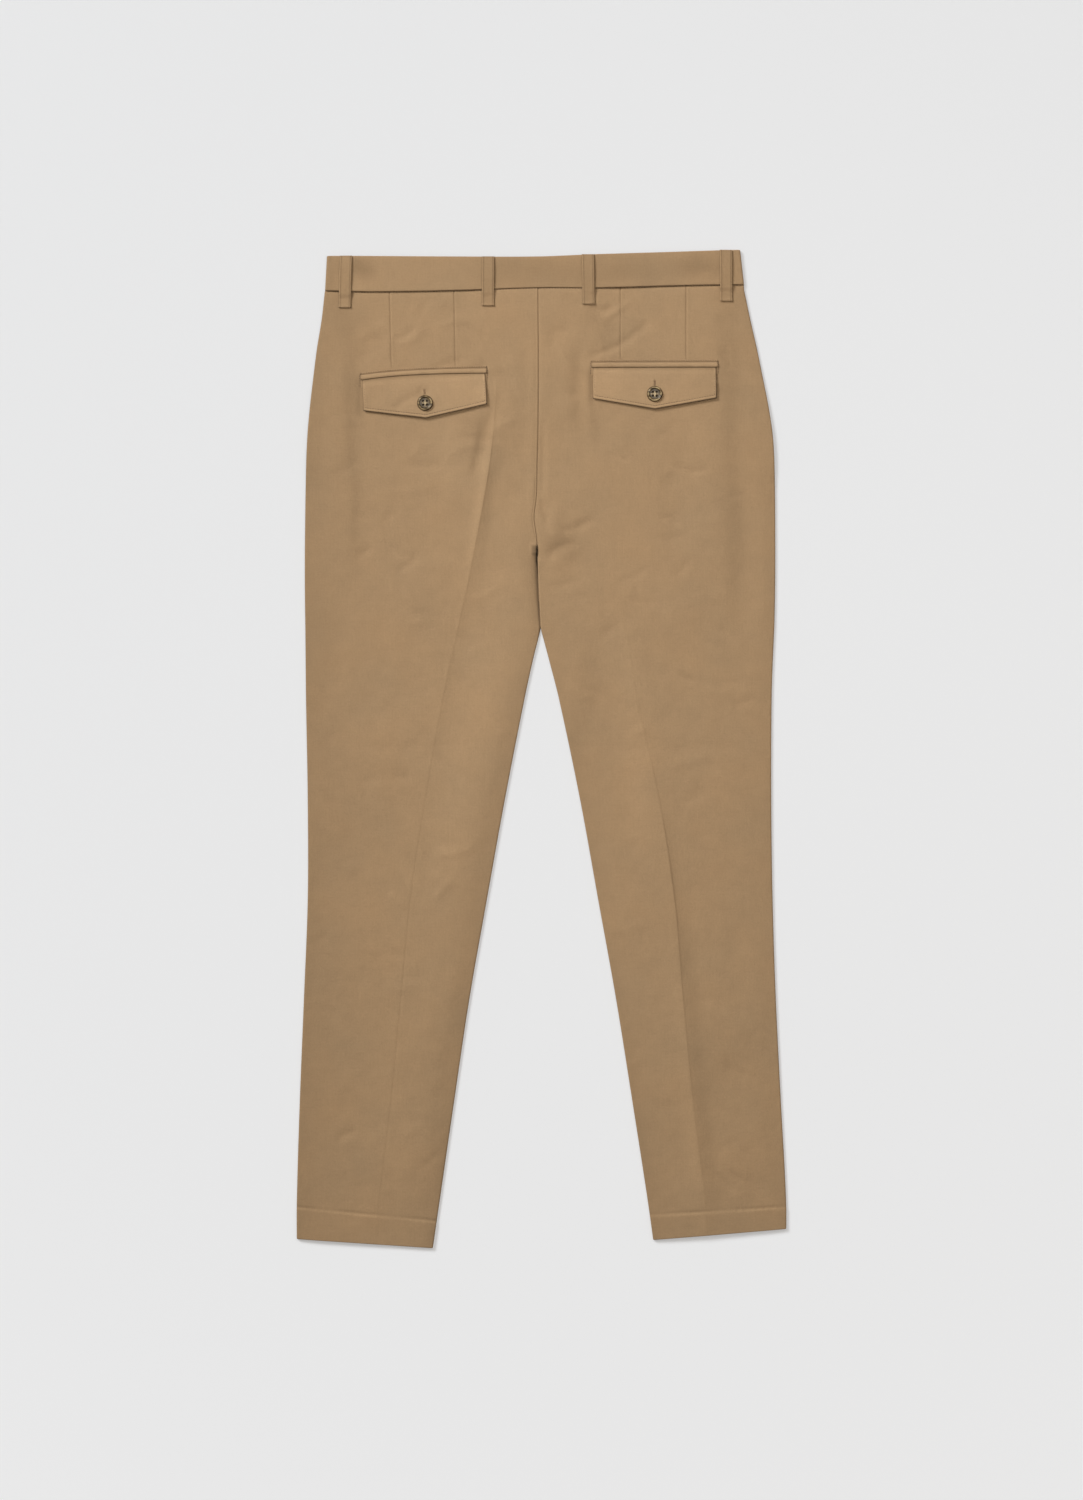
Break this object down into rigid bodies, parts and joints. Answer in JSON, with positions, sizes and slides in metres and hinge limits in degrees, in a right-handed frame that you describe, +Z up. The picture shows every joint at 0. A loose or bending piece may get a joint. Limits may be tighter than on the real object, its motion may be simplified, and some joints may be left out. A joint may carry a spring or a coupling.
{
  "type": "chino trousers",
  "caption": "Slim chino trousers laid flat with the back up: straight waistband with belt loops, darts, jetted back pockets with pointed buttoned flaps, pressed creases.",
  "frame": {"origin": "on the surface the trousers lie on, under the middle of their outline", "axes": "+X towards the wearer's right side, +Y up the body from the hems to the waist, +Z up off the surface, out of the back of the trousers"},
  "size_m": [0.5089, 1.0374, 0.0114],
  "materials": {
    "chino": "matt cotton twill, tan",
    "button": "satin horn look, grey brown"
  },
  "bodies": {
    "root": {"front_left": "chino", "pocket_facing_left": "chino", "back_left": "chino", "front_right": "chino", "pocket_facing_right": "chino", "back_right": "chino", "waistband": "chino", "belt_loop_side_left": "chino", "belt_loop_back_left": "chino", "belt_loop_back_right": "chino", "belt_loop_side_right": "chino", "belt_loop_front_left": "chino", "belt_loop_front_right": "chino", "pocket_jet_upper_left": "chino", "pocket_jet_lower_left": "chino", "pocket_flap_left": "chino", "pocket_jet_upper_right": "chino", "pocket_jet_lower_right": "chino", "pocket_flap_right": "chino", "pocket_button_left": "button", "pocket_button_right": "button"}
  },
  "joints": []
}
